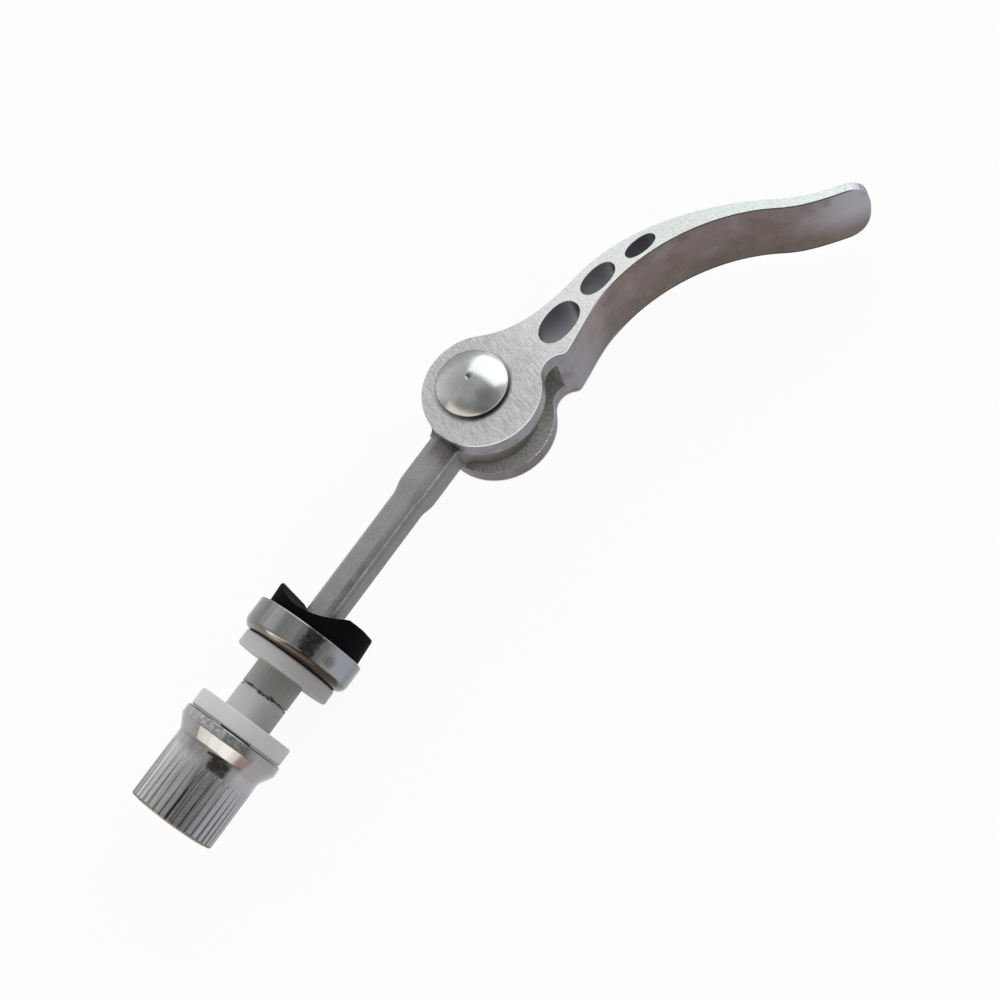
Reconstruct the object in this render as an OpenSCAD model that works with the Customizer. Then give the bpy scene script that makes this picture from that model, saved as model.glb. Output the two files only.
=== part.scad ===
// Quick-release seatpost clamp skewer, lying on its side with the cam lever open.
// A forked cam lever turns on a riveted pin through the eye of a forged skewer. The cam bears on a
// saddle washer in a cup washer, and a thimble nut draws two shouldered bushings together on the skewer.
// X runs along the skewer from the nut to the lever, Z is the pin's axis, and the origin lies on the
// skewer's axis at the seat face of the upper bushing's flange. Millimetres and degrees.

/* [Skewer] */
// Distance from the upper bushing's seat face to the pin's axis
pin_x = 51.5; // [47:0.5:60]
// Radius of the eye that turns between the lever's ears
eye_r = 8.6; // [7.5:0.1:9]
// Side clearance between the eye and each ear
eye_side_gap = 0.1; // [0.05:0.05:0.3]
// Side of the square bar next to the eye
wide_side = 5.4; // [5:0.1:5.6]
// Diameter that the corners of the wide bar are forged to
wide_corner_d = 7; // [6.6:0.1:7.2]
// Distance from the pin's axis to the end of the wide bar
wide_end = 17.4; // [15:0.1:18]
// Length of the step from the wide bar to the slim bar
step_len = 2.2; // [0.8:0.1:3]
// Side of the slim square bar
bar_side = 4.8; // [4.4:0.1:4.9]
// Outside diameter of the thread, which the slim bar's corners share
thread_d = 5.9; // [5.6:0.1:6.2]
// Length of the round threaded end
thread_len = 14.5; // [12:0.5:18]
// Length of thread held in the nut
thread_engaged = 7.3; // [5:0.1:9]
// Radius of the blend from the bar's sides into the eye
eye_fillet = 1.6; // [0.8:0.1:2]

/* [Lever] */
// Width of the lever along the pin
lever_w = 13.4; // [12:0.1:16]
// Width of the slot between the two ears
slot_w = 6.8; // [6:0.1:8]
// Clearance from the eye to the end wall of the slot
slot_end_gap = 1.7; // [0.5:0.1:2]
// Radius of the round hub, the cam
hub_r = 9.3; // [9:0.1:10.5]
// Offset of the hub's centre from the pin, which gives the cam its throw
cam_offset = 1.6; // [1:0.1:2]
// Where the back edge leaves the hub, measured round the hub from X
back_start_angle = 38; // [30:1:45]
// Handle waist beyond the first hole: distance from the pin
waist_x = 23; // [21:0.5:26]
// Height of the back edge at the waist
waist_y = -2.9; // [-4:0.1:-2]
// Slope of the back edge at the waist
waist_angle = -7; // [-12:1:-2]
// Depth of the handle at the waist
waist_depth = 5.4; // [5:0.1:7]
// Handle bend where the blade is steepest: distance from the pin
bend_x = 49.5; // [46:0.5:53]
// Height of the back edge at the bend
bend_y = -22.4; // [-26:0.2:-19]
// Slope of the back edge at the bend
bend_angle = -58; // [-64:1:-50]
// Depth of the blade at the bend
bend_depth = 1.6; // [1.4:0.1:2.5]
// Tip of the blade: distance from the pin
tip_x = 59.2; // [56:0.2:64]
// Height of the back edge at the tip
tip_y = -32.1; // [-35:0.1:-29]
// Slope of the blade at the tip
tip_angle = -42; // [-50:1:-35]
// Thickness of the blade at the tip
tip_depth = 1.3; // [1:0.1:2]
// Length over which the blade's end is rounded across its width
tip_round = 4.2; // [3:0.2:6]
// Depth of the handle's root below the pin's axis
root_depth = 9.1; // [8.5:0.1:10]
// Radius of the notch between the hub and the handle
notch_r = 3.2; // [2.8:0.1:3.6]
// Direction from the hub's centre to the notch's centre
notch_angle = -46; // [-50:1:-43]
// Radius of the corner between the notch and the handle
root_corner_r = 1.3; // [0.8:0.1:1.6]

/* [Lever holes] */
// Length of the largest hole, next to the hub
hole_1_len = 8; // [6:0.1:9]
// Width of the largest hole
hole_1_w = 4.8; // [3.5:0.1:5]
// Length of the middle hole
hole_2_len = 6.7; // [5:0.1:7.5]
// Width of the middle hole
hole_2_w = 3.5; // [2.5:0.1:4]
// Length of the smallest hole
hole_3_len = 5.6; // [4:0.1:6.5]
// Width of the smallest hole
hole_3_w = 2.5; // [1.8:0.1:2.8]
// Wall between the slot and the first hole
first_web = 1.1; // [0.8:0.1:2]
// Wall between one hole and the next
hole_web = 1.8; // [1.4:0.1:3]
// How far the holes sit from mid-depth towards the grip edge
hole_shift = 0.3; // [0:0.1:0.5]
// How far the largest hole is turned back from the handle's slope
hole_1_turn = 3; // [0:1:8]
// How far the smallest hole is turned back from the handle's slope
hole_3_turn = 8; // [0:1:10]

/* [Pivot pin] */
// Diameter of the pin's shank
pin_d = 6; // [5:0.1:7]
// Running clearance, radial, of the eye on the pin
pin_clearance = 0.05; // [0.02:0.01:0.1]
// Diameter of the domed head
head_d = 11.3; // [9:0.1:12.5]
// Height of the head's straight rim
head_rim = 0.7; // [0.3:0.1:1]
// Height of the dome above the rim
head_dome = 2.3; // [1:0.1:3]
// Radius of the centre mark in the dome
pip_r = 0.45; // [0.3:0.05:0.8]
// Diameter of the peened end
peen_d = 9.6; // [8:0.1:11]
// Height of the peened end
peen_h = 1.3; // [0.8:0.1:2]

/* [Cam seat] */
// Diameter of the saddle washer
saddle_d = 16.2; // [15:0.1:17]
// Height of the saddle's horns above the cup's rim
saddle_rise = 3.8; // [3.2:0.1:5]
// Depth of the saddle's valley below its horns
valley_depth = 2.4; // [2:0.1:3]
// How much larger the valley's radius is than the cam's
valley_ease = 0.1; // [0.05:0.05:0.5]
// Clearance, radial, of both washers on the wide bar
washer_clearance = 0.1; // [0.05:0.05:0.4]
// Wall of the cup washer
cup_wall = 0.8; // [0.6:0.1:1.2]
// Height of the cup washer
cup_h = 5.05; // [4:0.05:6]
// Gap, radial, between the saddle and the cup's wall
cup_ease = 0.25; // [0.1:0.05:0.4]
// Radius of the cup's lower edge
cup_edge_r = 1.7; // [0.9:0.1:1.9]

/* [Bushings] */
// Diameter of both flanges
flange_d = 15.9; // [14:0.1:18]
// Thickness of the upper bushing's flange
upper_flange_t = 2.5; // [1.5:0.1:4]
// Thickness of the lower bushing's flange
lower_flange_t = 2.9; // [1.5:0.1:4]
// Diameter of the collars that fit the clamp's holes
collar_d = 8; // [7.6:0.1:9]
// Length of the upper collar
upper_collar_len = 4; // [3:0.1:6]
// Length of the lower collar
lower_collar_len = 4.1; // [3:0.1:6]
// Clearance, radial, of both bushings on the thread
bushing_clearance = 0.08; // [0.03:0.01:0.1]
// Gap where the two collars meet
collar_gap = 0.1; // [0.05:0.05:0.5]
// Radius of the flanges' outer edges
flange_edge_r = 0.35; // [0.1:0.05:0.6]
// Lead-in chamfer at the tips of the collars
collar_lead = 0.25; // [0.2:0.05:0.5]

/* [Nut] */
// Length of the thimble nut
nut_len = 15.7; // [14:0.1:20]
// Diameter of the nut's grip
grip_d = 14.1; // [12.5:0.1:15]
// Diameter of the nut's collar
nut_collar_d = 16.6; // [15.4:0.1:18]
// Length of the collar's straight part
nut_collar_len = 1.3; // [0.8:0.1:2]
// Length of the slope from the collar to the grip
nut_slope_len = 2.4; // [1.5:0.1:3.5]
// Number of grooves round the grip
groove_count = 38; // [24:1:48]
// Depth of the grooves at the nut's end
groove_depth = 0.42; // [0.2:0.02:0.5]
// Length of the smooth band between the slope and the grooves' points
groove_start = 2.2; // [1:0.1:4]
// Clearance, radial, of the nut's thread on the skewer's
thread_clearance = 0.05; // [0.02:0.01:0.1]
// Thickness of the nut's closed end
nut_end_wall = 1.8; // [1.2:0.1:3]
// Chamfer round the nut's end
nut_chamfer = 0.4; // [0.2:0.1:0.8]
// Height of the shallow dome of the nut's end
nut_dome = 0.4; // [0.2:0.1:0.8]

/* [Seating] */
// Gap between the stacked pieces at rest
face_gap = 0.05; // [0.02:0.01:0.1]

/* [Hidden] */

$fn = 96;
// Steps along each curve of the lever's outline
curve_steps = 14;
// Steps round each hole, and its squareness, where 2 is an ellipse
oval_steps = 40;
oval_power = 2.2;
// Distance that cutting tools run past the faces they cut
over = 1;

// Places along the skewer, from the upper bushing's seat face
cup_x = upper_flange_t + face_gap;
cup_rim_x = cup_x + cup_h;
saddle_x = cup_x + cup_wall;
saddle_top_x = cup_rim_x + saddle_rise;
lower_collar_x = -(upper_collar_len + collar_gap);
lower_seat_x = lower_collar_x - lower_collar_len;
lower_face_x = lower_seat_x - lower_flange_t;
nut_x = lower_face_x - face_gap;
nut_end_x = nut_x - nut_len;
thread_end_x = nut_x - thread_engaged;

// Skewer
eye_w = slot_w - 2 * eye_side_gap;
bar_corner_r = thread_d / 2;
bore_r = thread_d / 2 + bushing_clearance;
washer_bore_r = wide_corner_d / 2 + washer_clearance;

// Lever outline, in the plane across the pin, with the pin at 0, 0
hub = [0, -cam_offset];
notch = hub + (hub_r + notch_r) * [cos(notch_angle), sin(notch_angle)];
root_corner = [
    notch.x + sqrt(pow(notch_r + root_corner_r, 2) - pow(-root_depth + root_corner_r - notch.y, 2)),
    -root_depth + root_corner_r
];
root_corner_angle = atan2(notch.y - root_corner.y, notch.x - root_corner.x);
slot_end = eye_r + slot_end_gap;

function along(angle) = [cos(angle), sin(angle)];
function below(angle) = [sin(angle), -cos(angle)];
function arc(centre, r, from, to, steps) =
    [for (i = [0:steps]) centre + r * along(from + (to - from) * i / steps)];

// A smooth curve from p to q that leaves and arrives at the given slopes, without its last point
function curve(p, p_angle, q, q_angle) =
    let (reach = 0.34 * norm(q - p), a = p + reach * along(p_angle), b = q - reach * along(q_angle))
    [for (i = [0:curve_steps - 1])
        let (t = i / curve_steps, u = 1 - t)
        u * u * u * p + 3 * u * u * t * a + 3 * u * t * t * b + t * t * t * q];

back_start = hub + hub_r * along(back_start_angle);
waist_back = [waist_x, waist_y];
bend_back = [bend_x, bend_y];
tip_back = [tip_x, tip_y];
waist_grip = waist_back + waist_depth * below(waist_angle);
bend_grip = bend_back + bend_depth * below(bend_angle);
tip_grip = tip_back + tip_depth * below(tip_angle);
root_grip = [root_corner.x, -root_depth];
// The grip edge is flatter than the back edge where the handle leaves its root
root_slope = 4;
waist_grip_angle = waist_angle + root_slope;

back_edge = concat(
    curve(back_start, back_start_angle - 90, waist_back, waist_angle),
    curve(waist_back, waist_angle, bend_back, bend_angle),
    curve(bend_back, bend_angle, tip_back, tip_angle),
    [tip_back]
);
grip_edge = concat(
    curve(root_grip, root_slope, waist_grip, waist_grip_angle),
    curve(waist_grip, waist_grip_angle, bend_grip, bend_angle),
    curve(bend_grip, bend_angle, tip_grip, tip_angle),
    [tip_grip]
);
// The grip edge from the tip back to the root, where the corner's arc takes over
grip_edge_back = [for (i = [len(grip_edge) - 1:-1:1]) grip_edge[i]];

// Hole sizes, and their centres at equal webs along the handle
hole_lens = [hole_1_len, hole_2_len, hole_3_len];
hole_ws = [hole_1_w, hole_2_w, hole_3_w];
hole_turns = [hole_1_turn, 0, hole_3_turn];
hole_xs = [
    slot_end + first_web + hole_1_len / 2,
    slot_end + first_web + hole_1_len + hole_web + hole_2_len / 2,
    slot_end + first_web + hole_1_len + hole_2_len + 2 * hole_web + hole_3_len / 2
];
function mid_y(x) = (lookup(x, back_edge) + lookup(x, grip_edge)) / 2;
function hole_y(x) = mid_y(x) - hole_shift;
function mid_angle(x) = atan((mid_y(x + 1) - mid_y(x - 1)) / 2);

// Squareness of the blade's rounded end, as the power of its curve
tip_power = 2.5;
tip_steps = 24;

// The saddle's valley follows the cam, and the nut's bore stops short of its closed end
valley_r = hub_r + valley_ease;
thread_depth = nut_len - nut_end_wall;

module along_x(x) {
    translate([x, 0, 0]) rotate([0, 90, 0]) children();
}

// A solid of revolution about X: each point of the outline is a radius and a place along X
module turned(points) {
    rotate([0, 90, 0]) rotate_extrude() polygon(points);
}

// A slightly squared ellipse, as a cutting tool through the lever's whole width
module oval(length, width) {
    linear_extrude(height = lever_w + 2 * over, center = true)
        polygon([for (i = [0:oval_steps - 1])
            let (turn = 360 * (i + 0.5) / oval_steps) [length / 2 * squared(cos(turn)), width / 2 * squared(sin(turn))]]);
}
function squared(value) = sign(value) * pow(abs(value), 2 / oval_power);

// The handle's outline, which starts inside the hub and inside the notch's circle
module handle_outline() {
    polygon(concat(
        back_edge,
        grip_edge_back,
        arc(root_corner, root_corner_r, 270, root_corner_angle + 360, 8),
        [notch, hub]
    ));
}

// Everything behind the blade's rounded end, as a slab that the handle is trimmed to
module tip_trim() {
    half_w = lever_w / 2;
    back = -2 * tip_x;
    end = [for (i = [0:tip_steps])
        let (z = -1 + 2 * i / tip_steps)
        [tip_round * (pow(1 - pow(abs(z), tip_power), 1 / tip_power) - 1), z * half_w]];
    translate([tip_x, tip_y, 0])
        rotate([0, 0, tip_angle])
            rotate([90, 0, 0])
                linear_extrude(height = 4 * tip_x, center = true)
                    polygon(concat([[back, half_w + over], [back, -half_w - over],
                        [-tip_round, -half_w - over]], end, [[-tip_round, half_w + over]]));
}

module lever() {
    color([0.80, 0.81, 0.80])
    translate([pin_x, 0, 0])
    difference() {
        intersection() {
            union() {
                translate(hub) cylinder(r = hub_r, h = lever_w, center = true);
                linear_extrude(height = lever_w, center = true) handle_outline();
            }
            tip_trim();
        }
        translate(notch) cylinder(r = notch_r, h = lever_w + 2 * over, center = true);
        for (i = [0:2])
            translate([hole_xs[i], hole_y(hole_xs[i]), 0])
                rotate([0, 0, mid_angle(hole_xs[i]) + hole_turns[i]])
                    oval(hole_lens[i], hole_ws[i]);
        // The slot between the ears, open all round the hub
        translate([slot_end - 3 * hub_r, -2 * hub_r, -slot_w / 2]) cube([3 * hub_r, 4 * hub_r, slot_w]);
        cylinder(d = pin_d, h = lever_w + 2 * over, center = true);
    }
}

module pivot_pin() {
    face = lever_w / 2;
    dome_r = (pow(head_d / 2, 2) + pow(head_dome, 2)) / (2 * head_dome);
    peen_r = (pow(peen_d / 2, 2) + pow(peen_h, 2)) / (2 * peen_h);
    color([0.62, 0.64, 0.64])
    translate([pin_x, 0, 0])
    difference() {
        union() {
            cylinder(d = pin_d, h = lever_w, center = true);
            translate([0, 0, face]) cylinder(d = head_d, h = head_rim);
            translate([0, 0, face + head_rim]) cap(dome_r, head_d, head_dome);
            translate([0, 0, -face]) mirror([0, 0, 1]) cap(peen_r, peen_d, peen_h);
        }
        translate([0, 0, face + head_rim + head_dome]) sphere(r = pip_r);
    }
}

// The part of a ball above its seat: a domed head
module cap(ball_r, d, h) {
    intersection() {
        translate([0, 0, h - ball_r]) sphere(r = ball_r);
        cylinder(d = d, h = h + over);
    }
}

// Half-widths of the square bar along X, wide beside the eye and slim beyond the step.
// Past the start of the thread the bar is full and round.
module bar_outline() {
    wide = wide_side / 2;
    slim = bar_side / 2;
    round_x = thread_end_x + thread_len;
    half = [
        [pin_x, wide], [pin_x - wide_end, wide], [pin_x - wide_end - step_len, slim],
        [round_x + step_len, slim], [round_x, thread_d], [thread_end_x - over, thread_d]
    ];
    polygon(concat(half, [for (i = [len(half) - 1:-1:0]) [half[i].x, -half[i].y]]));
}

module skewer() {
    wide_r = wide_corner_d / 2;
    step_x = pin_x - wide_end;
    chamfer = 0.6;
    // The arc that blends one side of the bar into the eye
    blend_y = wide_side / 2 + eye_fillet;
    blend_x = sqrt(pow(eye_r + eye_fillet, 2) - pow(blend_y, 2));
    blend = arc([-blend_x, blend_y], eye_fillet, -90, -atan2(blend_y, blend_x), 8);
    color([0.52, 0.53, 0.55])
    difference() {
        union() {
            intersection() {
                turned([
                    [0, thread_end_x], [bar_corner_r - chamfer, thread_end_x],
                    [bar_corner_r, thread_end_x + chamfer], [bar_corner_r, step_x - step_len],
                    [wide_r, step_x], [wide_r, pin_x], [0, pin_x]
                ]);
                linear_extrude(height = 4 * wide_r, center = true) bar_outline();
                rotate([90, 0, 0]) linear_extrude(height = 4 * wide_r, center = true) bar_outline();
            }
            translate([pin_x, 0, 0]) {
                cylinder(r = eye_r, h = eye_w, center = true);
                linear_extrude(height = wide_side, center = true)
                    polygon(concat(blend, [[0, 0]], [for (i = [len(blend) - 1:-1:0]) [blend[i].x, -blend[i].y]]));
            }
        }
        translate([pin_x, 0, 0]) cylinder(r = pin_d / 2 + pin_clearance, h = eye_w + 2 * over, center = true);
    }
}

module saddle_washer() {
    r = saddle_d / 2;
    edge = 0.3;
    color([0.07, 0.07, 0.08])
    difference() {
        turned([
            [0, saddle_x], [r - edge, saddle_x], [r, saddle_x + edge],
            [r, saddle_top_x - edge], [r - edge, saddle_top_x], [0, saddle_top_x]
        ]);
        translate([saddle_top_x - valley_depth + valley_r, 0, 0])
            cylinder(r = valley_r, h = 2 * saddle_d, center = true);
        along_x(saddle_x - over) cylinder(r = washer_bore_r, h = saddle_top_x - saddle_x + 2 * over);
    }
}

module cup_washer() {
    inner_r = saddle_d / 2 + cup_ease;
    outer_r = inner_r + cup_wall;
    color([0.58, 0.59, 0.60])
    difference() {
        turned(concat(
            [[0, cup_x]],
            arc([outer_r - cup_edge_r, cup_x + cup_edge_r], cup_edge_r, -90, 0, 8),
            [[outer_r, cup_rim_x], [0, cup_rim_x]]
        ));
        along_x(saddle_x) cylinder(r = inner_r, h = cup_h);
        along_x(cup_x - over) cylinder(r = washer_bore_r, h = cup_h);
    }
}

// A shouldered bushing with its seat face at X = 0, its flange on the + side and its collar on the - side
module bushing(flange_t, collar_len) {
    r = flange_d / 2;
    edge = flange_edge_r;
    difference() {
        turned(concat(
            [[0, -collar_len], [collar_d / 2 - collar_lead, -collar_len],
             [collar_d / 2, collar_lead - collar_len], [collar_d / 2, 0]],
            arc([r - edge, edge], edge, -90, 0, 3),
            arc([r - edge, flange_t - edge], edge, 0, 90, 3),
            [[0, flange_t]]
        ));
        along_x(-collar_len - over) cylinder(r = bore_r, h = collar_len + flange_t + 2 * over);
    }
}

module upper_bushing() {
    color([0.86, 0.86, 0.84]) bushing(upper_flange_t, upper_collar_len);
}

module lower_bushing() {
    color([0.88, 0.90, 0.89])
        translate([lower_seat_x, 0, 0]) mirror([1, 0, 0]) bushing(lower_flange_t, lower_collar_len);
}

module nut() {
    collar_r = nut_collar_d / 2;
    grip_r = grip_d / 2;
    edge = 0.4;
    end_r = grip_r - nut_chamfer;
    nut_dome_r = (pow(end_r, 2) + pow(nut_dome, 2)) / (2 * nut_dome);
    nut_dome_angle = asin(end_r / nut_dome_r);
    slope_x = nut_x - nut_collar_len;
    grip_x = slope_x - nut_slope_len;
    // Each groove is a square bar on edge, tilted so that it rises out of the grip to a point
    groove_len = grip_x - groove_start - nut_end_x;
    groove_tilt = atan(groove_depth / groove_len);
    groove_side = sqrt(2) * groove_depth * 2;
    color([0.66, 0.66, 0.68])
    difference() {
        turned(concat(
            arc([0, nut_end_x + nut_dome_r - nut_dome], nut_dome_r, -90, -90 + nut_dome_angle, 6),
            [[grip_r, nut_end_x + nut_chamfer],
             [grip_r, grip_x - edge], [grip_r + edge / 4, grip_x], [collar_r - edge / 2, slope_x - edge / 2],
             [collar_r, slope_x + edge / 2]],
            arc([collar_r - edge, nut_x - edge], edge, 0, 90, 4),
            [[0, nut_x]]
        ));
        along_x(nut_x - thread_depth)
            cylinder(r = thread_d / 2 + thread_clearance, h = thread_depth + over);
        for (i = [0:groove_count - 1])
            rotate([(i + 0.5) * 360 / groove_count, 0, 0])
                translate([nut_end_x, 0, grip_r - groove_depth])
                    rotate([0, -groove_tilt, 0])
                        translate([-over, 0, groove_side * sqrt(2) / 2])
                            rotate([45, 0, 0])
                                translate([0, -groove_side / 2, -groove_side / 2])
                                    cube([groove_len + 2 * over, groove_side, groove_side]);
    }
}

lever();
pivot_pin();
skewer();
saddle_washer();
cup_washer();
upper_bushing();
lower_bushing();
nut();
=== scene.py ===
"""Looks for a quick-release seatpost clamp skewer, lying on its side with its cam lever open.

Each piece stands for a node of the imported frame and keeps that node's place. X runs along the skewer
from the nut to the lever and Z along the pivot pin. Sizes are in millimetres until a mesh is made.
"""
import math

import bmesh
import bpy
import numpy as np
from mathutils import Matrix, Vector


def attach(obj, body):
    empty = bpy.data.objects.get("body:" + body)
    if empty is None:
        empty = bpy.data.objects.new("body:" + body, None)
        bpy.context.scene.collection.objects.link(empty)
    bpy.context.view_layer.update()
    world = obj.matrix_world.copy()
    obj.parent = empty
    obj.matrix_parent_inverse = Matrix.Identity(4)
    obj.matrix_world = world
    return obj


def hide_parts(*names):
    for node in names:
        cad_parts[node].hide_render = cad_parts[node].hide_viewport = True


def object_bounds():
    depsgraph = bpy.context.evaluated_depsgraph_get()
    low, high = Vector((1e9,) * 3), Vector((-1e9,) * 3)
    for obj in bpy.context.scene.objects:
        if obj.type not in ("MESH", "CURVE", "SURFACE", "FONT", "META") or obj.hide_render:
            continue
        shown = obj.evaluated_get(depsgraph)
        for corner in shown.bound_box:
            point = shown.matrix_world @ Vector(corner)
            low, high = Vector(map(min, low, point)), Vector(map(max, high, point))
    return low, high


MM = 0.001
TURN = 2 * math.pi

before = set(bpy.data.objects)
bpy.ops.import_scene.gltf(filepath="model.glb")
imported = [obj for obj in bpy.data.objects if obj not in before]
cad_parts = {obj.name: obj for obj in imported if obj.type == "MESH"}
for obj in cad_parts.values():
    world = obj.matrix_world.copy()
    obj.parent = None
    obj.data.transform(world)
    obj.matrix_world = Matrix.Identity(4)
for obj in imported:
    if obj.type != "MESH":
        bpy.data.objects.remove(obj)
cad_low, cad_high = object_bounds()

# Sizes shared by several pieces
PIN_X = 51.5
PIN_R = 3.0
PIN_HEAD_R = 5.65
PIN_HEAD_WALL = 0.7
LEVER_W = 13.4
SLOT_W = 6.8
HUB_R = 9.3
CAM_OFFSET = 1.6
EYE_R = 8.6
EYE_W = 6.6
COLLAR_R = 4.0
BUSHING_BORE_R = 3.03
WASHER_BORE_R = 3.6
LOWER_SEAT_X = -8.2
UPPER_FLANGE_T, UPPER_COLLAR_LEN = 2.5, 4.0
LOWER_FLANGE_T, LOWER_COLLAR_LEN = 2.9, 4.1
NUT_X = -11.15
NUT_LEN = 15.7
THREAD_END_X = -18.45
THREAD_LEN = 14.5
CUP_X = 2.55
CUP_RIM_X = 7.6
SADDLE_X = 3.35
SADDLE_TOP_X = 11.4


# Geometry helpers

CURVE_REACH = 0.34
CORNER_SHARE = 0.48
BEVEL_ANGLE = 32
MERGE_WITHIN = 1e-7


def along(degrees):
    return np.array([math.cos(math.radians(degrees)), math.sin(math.radians(degrees))])


def arc(centre, r, start, end, steps):
    return [np.array(centre) + r * along(start + (end - start) * i / steps) for i in range(steps + 1)]


def circle(centre, r, count):
    return arc(centre, r, 0, 360 - 360 / count, count - 1)


def curve(p, p_slope, q, q_slope, steps=22):
    """A smooth curve from p to q that leaves and arrives at the given slopes, without its last point."""
    p, q = np.array(p, float), np.array(q, float)
    reach = CURVE_REACH * np.linalg.norm(q - p)
    a, b = p + reach * along(p_slope), q - reach * along(q_slope)
    ts = [i / steps for i in range(steps)]
    return [(1 - t) ** 3 * p + 3 * (1 - t) ** 2 * t * a + 3 * (1 - t) * t * t * b + t ** 3 * q for t in ts]


def rounded(points, steps=5):
    """An outline whose corners, given as (along, across, fillet radius), are rounded off."""
    out = []
    for i, (x, y, fillet) in enumerate(points):
        p = np.array([x, y], float)
        if fillet <= 0 or i in (0, len(points) - 1):
            out.append(p)
            continue
        before = np.array(points[i - 1][:2], float) - p
        after = np.array(points[i + 1][:2], float) - p
        length_before, length_after = np.linalg.norm(before), np.linalg.norm(after)
        before, after = before / length_before, after / length_after
        half = math.acos(float(np.clip(before @ after, -1, 1))) / 2
        longest = CORNER_SHARE * min(length_before, length_after)
        back = min(fillet / math.tan(half), longest)
        r = back * math.tan(half)
        middle = (before + after) / np.linalg.norm(before + after)
        centre = p + middle * r / math.sin(half)
        first, last = p + before * back - centre, p + after * back - centre
        sweep = math.pi - 2 * half
        for k in range(steps + 1):
            t = k / steps
            mixed = first * math.sin((1 - t) * sweep) + last * math.sin(t * sweep)
            out.append(centre + mixed / math.sin(sweep))
    return out


def new_piece(name, verts, faces):
    """A mesh object from points in millimetres, with its normals outward."""
    mesh = bpy.data.meshes.new(name)
    mesh.from_pydata([tuple(float(c) * MM for c in v) for v in verts], [], faces)
    work = bmesh.new()
    work.from_mesh(mesh)
    bmesh.ops.recalc_face_normals(work, faces=work.faces)
    work.to_mesh(mesh)
    work.free()
    piece = bpy.data.objects.new(name, mesh)
    bpy.context.scene.collection.objects.link(piece)
    return piece


def grid_piece(name, rows, loop=False):
    """A skin over rings of points. A row of one point closes an end; loop joins the last to the first."""
    verts, faces, starts = [], [], []
    for row in rows:
        starts.append(len(verts))
        verts.extend(row)
    pairs = list(zip(range(len(rows) - 1), range(1, len(rows))))
    if loop:
        pairs.append((len(rows) - 1, 0))
    for i, j in pairs:
        a, b, na, nb = starts[i], starts[j], len(rows[i]), len(rows[j])
        for k in range(max(na, nb)):
            k2 = (k + 1) % max(na, nb)
            if na == 1:
                faces.append((a, b + k, b + k2))
            elif nb == 1:
                faces.append((a + k, b, a + k2))
            else:
                faces.append((a + k, b + k, b + k2, a + k2))
    return new_piece(name, verts, faces)


def around_x(x, r, angle):
    return (x, r * math.cos(angle), r * math.sin(angle))


def around_pin(z, r, angle):
    return (PIN_X + r * math.cos(angle), r * math.sin(angle), z)


def lathe(name, profile, place=around_x, segments=144, loop=False):
    """A solid of revolution from (along, radius) points; loop is for a profile that closes round a bore."""
    rows = []
    for x, r in profile:
        count = 1 if r < 1e-6 else segments
        rows.append([place(x, r, TURN * k / count) for k in range(count)])
    return grid_piece(name, rows, loop)


def prism(name, outline, place):
    """A straight extrusion of an outline; place(u, v, end) gives each corner for end -1 and 1."""
    n = len(outline)
    verts = [place(u, v, -1) for u, v in outline] + [place(u, v, 1) for u, v in outline]
    faces = [tuple(range(n)), tuple(range(2 * n - 1, n - 1, -1))]
    faces += [(k, k + n, (k + 1) % n + n, (k + 1) % n) for k in range(n)]
    return new_piece(name, verts, faces)


def upright(half, x=0):
    """Places for a prism that stands along Z, over x, and reaches half to each side."""
    return lambda u, v, end: (x + u, v, end * half)


def apply_modifiers(piece):
    graph = bpy.context.evaluated_depsgraph_get()
    mesh = bpy.data.meshes.new_from_object(piece.evaluated_get(graph))
    piece.modifiers.clear()
    piece.data = mesh


def combine(piece, other, operation):
    """Boolean of two pieces; the second one is used up."""
    modifier = piece.modifiers.new("combine", "BOOLEAN")
    modifier.operation = operation
    modifier.object = other
    modifier.solver = "EXACT"
    apply_modifiers(piece)
    bpy.data.objects.remove(other)


def bevel(piece, width, segments=2):
    modifier = piece.modifiers.new("edges", "BEVEL")
    modifier.width = width * MM
    modifier.segments = segments
    modifier.limit_method = "ANGLE"
    modifier.angle_limit = math.radians(BEVEL_ANGLE)
    modifier.miter_outer = "MITER_ARC"
    modifier.use_clamp_overlap = True
    apply_modifiers(piece)


def finish_piece(piece, material, body, node, sharp=40):
    """Smooth shading with its sharp edges kept, then material, body and the node that it stands for."""
    mesh = piece.data
    work = bmesh.new()
    work.from_mesh(mesh)
    bmesh.ops.remove_doubles(work, verts=work.verts, dist=MERGE_WITHIN)
    bmesh.ops.dissolve_degenerate(work, edges=work.edges, dist=MERGE_WITHIN)
    bmesh.ops.recalc_face_normals(work, faces=work.faces)
    work.to_mesh(mesh)
    work.free()
    mesh.polygons.foreach_set("use_smooth", [True] * len(mesh.polygons))
    mesh.set_sharp_from_angle(angle=math.radians(sharp))
    modifier = piece.modifiers.new("normals", "WEIGHTED_NORMAL")
    modifier.keep_sharp = True
    mesh.materials.clear()
    mesh.materials.append(material)
    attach(piece, body)
    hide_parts(node)
    return piece

# Material helpers

SKEWER_AXIS, ACROSS_SKEWER = (0, 0, 0), (0, 1, 1)
PIN_AXIS, ACROSS_PIN = (PIN_X, 0, 0), (1, 1, 0)


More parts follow.
